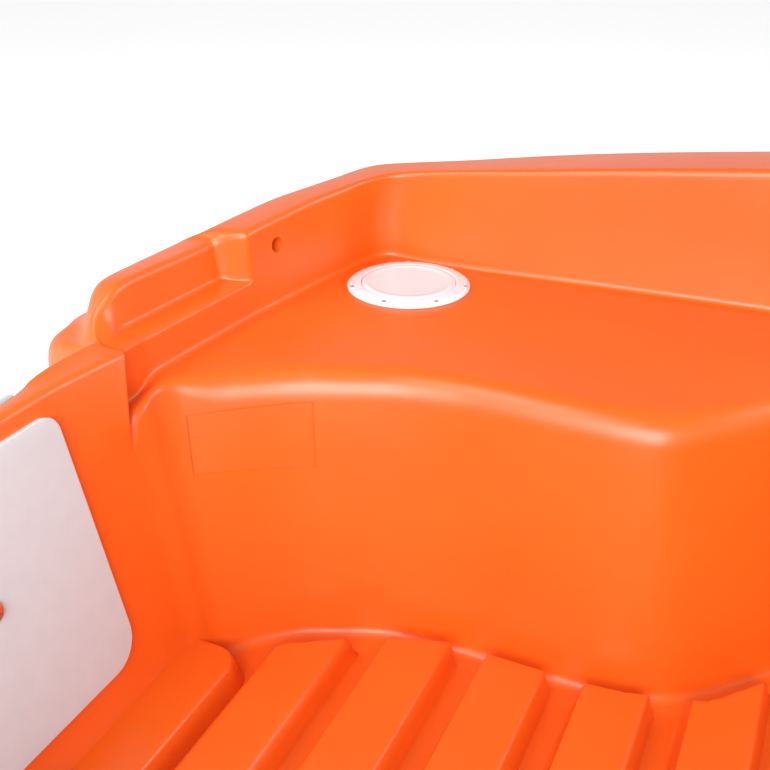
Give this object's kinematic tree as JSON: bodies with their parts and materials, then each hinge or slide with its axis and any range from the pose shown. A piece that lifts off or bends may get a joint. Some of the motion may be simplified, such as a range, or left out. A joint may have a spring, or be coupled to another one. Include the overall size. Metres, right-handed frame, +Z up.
{
  "type": "rigid dinghy",
  "caption": "Open moulded plastic dinghy with double-skin hull, stern benches with deck hatches, a raked transom with clamp boards, a centre seat, rowlocks and carrying handles.",
  "frame": {"origin": "on the surface the boat stands on, under the middle of the boat's length, on the underside of the centre keel's wear strip", "axes": "+X towards the bow, +Y to port, +Z up"},
  "size_m": [3.707, 1.7232, 0.8833],
  "materials": {
    "orange_polyethylene": "satin moulded",
    "white_plastic": "gloss",
    "grey_white_board": "matt sheet",
    "black_plastic": "satin",
    "dark_wear_plastic": "matt",
    "polished_steel": "polished",
    "galvanised_iron": "galvanised"
  },
  "bodies": {
    "hull": {"hull_moulding": "orange_polyethylene", "transom_pad_inner": "grey_white_board", "transom_pad_outer": "grey_white_board", "hatch_ring_port": "white_plastic", "hatch_ring_starboard": "white_plastic", "centre_thwart": "orange_polyethylene", "keel_strip_centre": "dark_wear_plastic", "keel_strip_port": "dark_wear_plastic", "keel_strip_starboard": "dark_wear_plastic", "rowlock_socket_port": "black_plastic", "rowlock_socket_starboard": "black_plastic", "bow_eye": "polished_steel", "stern_eye_port": "polished_steel", "stern_eye_starboard": "polished_steel", "grab_handle_port": "black_plastic", "grab_handle_starboard": "black_plastic", "drain_tube": "white_plastic", "drain_bung": "black_plastic"},
    "hatch_cover_port": {"hatch_cover_port": "white_plastic"},
    "hatch_cover_starboard": {"hatch_cover_starboard": "white_plastic"},
    "rowlock_port": {"rowlock_port": "galvanised_iron"},
    "rowlock_starboard": {"rowlock_starboard": "galvanised_iron"}
  },
  "joints": [
    {"name": "hatch_cover_port_lift", "type": "slide", "parent": "hull", "child": "hatch_cover_port", "axis": [0, 0, 1], "range_m": [0, 0.08]},
    {"name": "hatch_cover_starboard_lift", "type": "slide", "parent": "hull", "child": "hatch_cover_starboard", "axis": [0, 0, 1], "range_m": [0, 0.08]},
    {"name": "rowlock_port_turn", "type": "hinge", "parent": "hull", "child": "rowlock_port", "pos_m": [-0.33, 0.8, 0.63834], "axis": [-0.0975, 0, 0.9952], "continuous": true},
    {"name": "rowlock_starboard_turn", "type": "hinge", "parent": "hull", "child": "rowlock_starboard", "pos_m": [-0.33, -0.8, 0.63834], "axis": [-0.0975, 0, 0.9952], "continuous": true}
  ]
}
